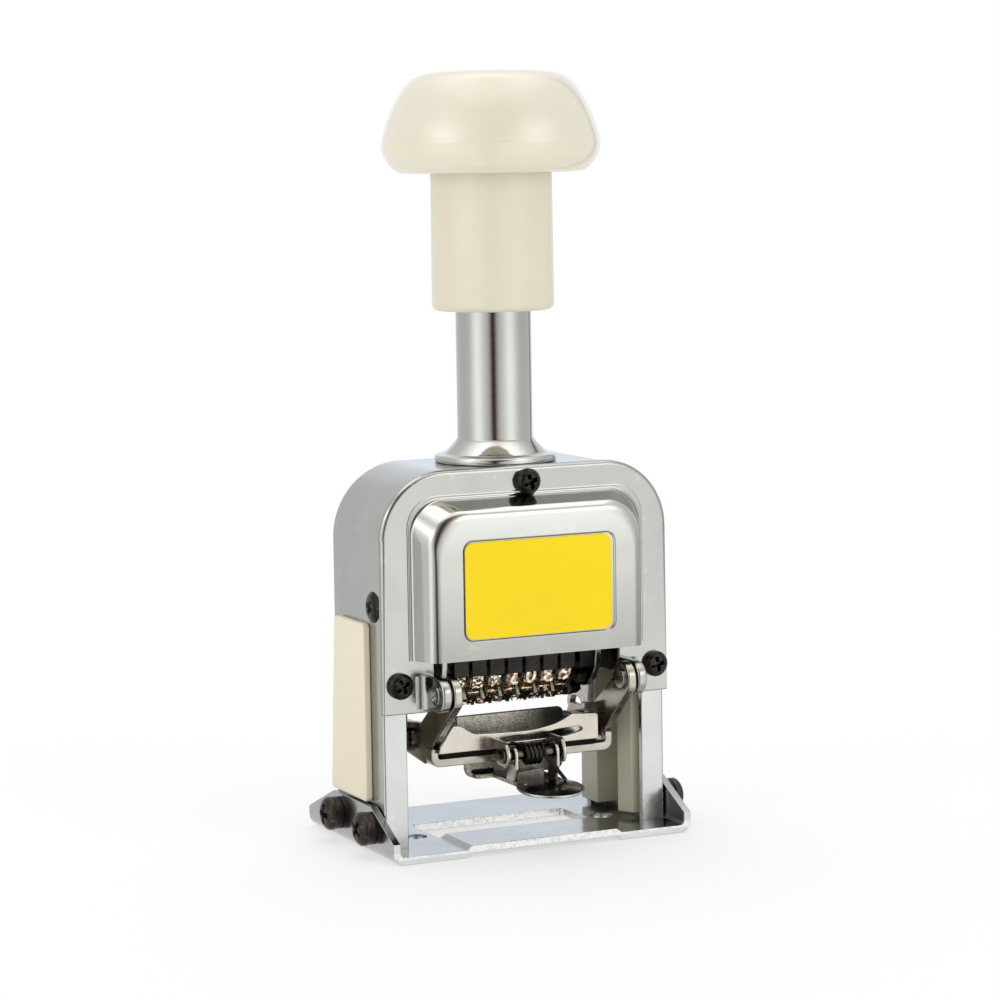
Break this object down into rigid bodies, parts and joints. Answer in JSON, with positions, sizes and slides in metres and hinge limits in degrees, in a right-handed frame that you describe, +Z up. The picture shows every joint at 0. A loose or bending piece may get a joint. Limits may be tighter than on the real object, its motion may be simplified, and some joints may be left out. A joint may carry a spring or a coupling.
{
  "type": "desk numbering machine",
  "caption": "Upright hand-pressed numbering stamp: a round knob on a chrome neck drives a row of number wheels while an ink fork swings aside.",
  "frame": {"origin": "on the table under the middle of the whole machine, front pad included", "axes": "+Z up along the plunger, -Y to the front with the label and the thumb pad, +X to the machine's right as seen from the front"},
  "size_m": [0.0656, 0.0486, 0.14],
  "materials": {
    "chrome": "bright chrome plate",
    "nickel": "satin nickel plate",
    "dark_nickel": "darkened nickel plate",
    "black_steel": "blackened steel",
    "brass": "engraved brass",
    "cream": "glossy cream plastic",
    "yellow": "bare yellow label",
    "felt": "inked felt"
  },
  "bodies": {
    "frame": {"base_plate": "chrome", "housing": "chrome", "front_cover": "chrome", "label_plate": "yellow", "cover_screw_top": "black_steel", "cover_screw_left": "black_steel", "cover_screw_right": "black_steel", "side_screw_left": "black_steel", "side_screw_right": "black_steel", "base_screw_front_left": "black_steel", "base_screw_front_right": "black_steel", "base_screw_rear_left": "black_steel", "base_screw_rear_right": "black_steel", "base_washer_front_left": "black_steel", "base_washer_front_right": "black_steel", "base_washer_rear_left": "black_steel", "base_washer_rear_right": "black_steel", "side_pad_left": "cream", "side_pad_right": "cream", "guide_left": "cream", "guide_right": "cream", "neck_tube": "chrome", "neck_nut": "dark_nickel", "ear_rivet_left": "nickel", "ear_rivet_right": "nickel"},
    "lock": {"lock_button": "nickel"},
    "plunger": {"knob": "cream", "grip_sleeve": "cream", "plunger_rod": "nickel", "rod_spacer": "nickel", "carriage_bridge": "nickel", "carriage_cheek_left": "nickel", "carriage_cheek_right": "nickel", "slide_shoe_left": "black_steel", "slide_shoe_right": "black_steel", "link_stud_left": "nickel", "link_stud_right": "nickel", "wheel_shaft": "nickel", "detent_comb": "black_steel", "return_spring": "nickel"},
    "wheel_1": {"number_wheel_1": "brass"},
    "wheel_2": {"number_wheel_2": "brass"},
    "wheel_3": {"number_wheel_3": "brass"},
    "wheel_4": {"number_wheel_4": "brass"},
    "wheel_5": {"number_wheel_5": "brass"},
    "wheel_6": {"number_wheel_6": "brass"},
    "wheel_7": {"number_wheel_7": "brass"},
    "dial": {"repeat_dial": "black_steel"},
    "rocker": {"pawl_rocker": "dark_nickel"},
    "fork": {"ink_fork": "nickel", "fork_stud_left": "nickel", "fork_stud_right": "nickel", "clip_bracket": "nickel", "clip_pin": "nickel", "pad_tray": "nickel", "ink_pad": "felt"},
    "clip": {"thumb_clip": "dark_nickel", "torsion_spring": "black_steel"},
    "link_left": {"drag_link_left": "nickel"},
    "link_right": {"drag_link_right": "nickel"}
  },
  "joints": [
    {"name": "plunger_slide", "type": "slide", "parent": "frame", "child": "plunger", "axis": [0, 0, -1], "range_m": [0, 0.024], "stiffness_N_per_m": 350, "springref_m": -0.02, "deforming": ["return_spring"]},
    {"name": "fork_swing", "type": "hinge", "parent": "frame", "child": "fork", "pos_m": [0, -0.01415, 0.0295], "axis": [1, 0, 0], "range_deg": [-70, 0]},
    {"name": "clip_squeeze", "type": "hinge", "parent": "fork", "child": "clip", "pos_m": [0, -0.01235, 0.017], "axis": [1, 0, 0], "range_deg": [0, 12], "stiffness_Nm_per_rad": 0.02, "springref_deg": -17.19},
    {"name": "lock_push", "type": "slide", "parent": "frame", "child": "lock", "axis": [0, -1, 0], "range_m": [0, 0.002], "stiffness_N_per_m": 150, "springref_m": -0.002},
    {"name": "link_swing_left", "type": "hinge", "parent": "plunger", "child": "link_left", "pos_m": [0, 0.00305, 0.04162], "axis": [1, 0, 0], "range_deg": [-69.61, 0]},
    {"name": "link_swing_right", "type": "hinge", "parent": "plunger", "child": "link_right", "pos_m": [0, 0.00305, 0.04162], "axis": [1, 0, 0], "range_deg": [-69.61, 0]},
    {"name": "rocker_swing", "type": "hinge", "parent": "plunger", "child": "rocker", "pos_m": [0, 0.00305, 0.0323], "axis": [1, 0, 0], "range_deg": [-36, 0]},
    {"name": "wheel_turn_1", "type": "hinge", "parent": "plunger", "child": "wheel_1", "pos_m": [0, 0.00305, 0.0323], "axis": [1, 0, 0], "continuous": true},
    {"name": "wheel_turn_2", "type": "hinge", "parent": "plunger", "child": "wheel_2", "pos_m": [0, 0.00305, 0.0323], "axis": [1, 0, 0], "continuous": true},
    {"name": "wheel_turn_3", "type": "hinge", "parent": "plunger", "child": "wheel_3", "pos_m": [0, 0.00305, 0.0323], "axis": [1, 0, 0], "continuous": true},
    {"name": "wheel_turn_4", "type": "hinge", "parent": "plunger", "child": "wheel_4", "pos_m": [0, 0.00305, 0.0323], "axis": [1, 0, 0], "continuous": true},
    {"name": "wheel_turn_5", "type": "hinge", "parent": "plunger", "child": "wheel_5", "pos_m": [0, 0.00305, 0.0323], "axis": [1, 0, 0], "continuous": true},
    {"name": "wheel_turn_6", "type": "hinge", "parent": "plunger", "child": "wheel_6", "pos_m": [0, 0.00305, 0.0323], "axis": [1, 0, 0], "continuous": true},
    {"name": "wheel_turn_7", "type": "hinge", "parent": "plunger", "child": "wheel_7", "pos_m": [0, 0.00305, 0.0323], "axis": [1, 0, 0], "continuous": true},
    {"name": "dial_turn", "type": "hinge", "parent": "plunger", "child": "dial", "pos_m": [0, 0.00305, 0.0323], "axis": [1, 0, 0], "continuous": true}
  ],
  "couplings": [
    {"joint": "fork_swing", "follows": "plunger_slide", "rad_per_m": -50.905},
    {"joint": "link_swing_left", "follows": "plunger_slide", "rad_per_m": -50.619},
    {"joint": "link_swing_right", "follows": "plunger_slide", "rad_per_m": -50.619},
    {"joint": "rocker_swing", "follows": "plunger_slide", "rad_per_m": -26.179}
  ]
}
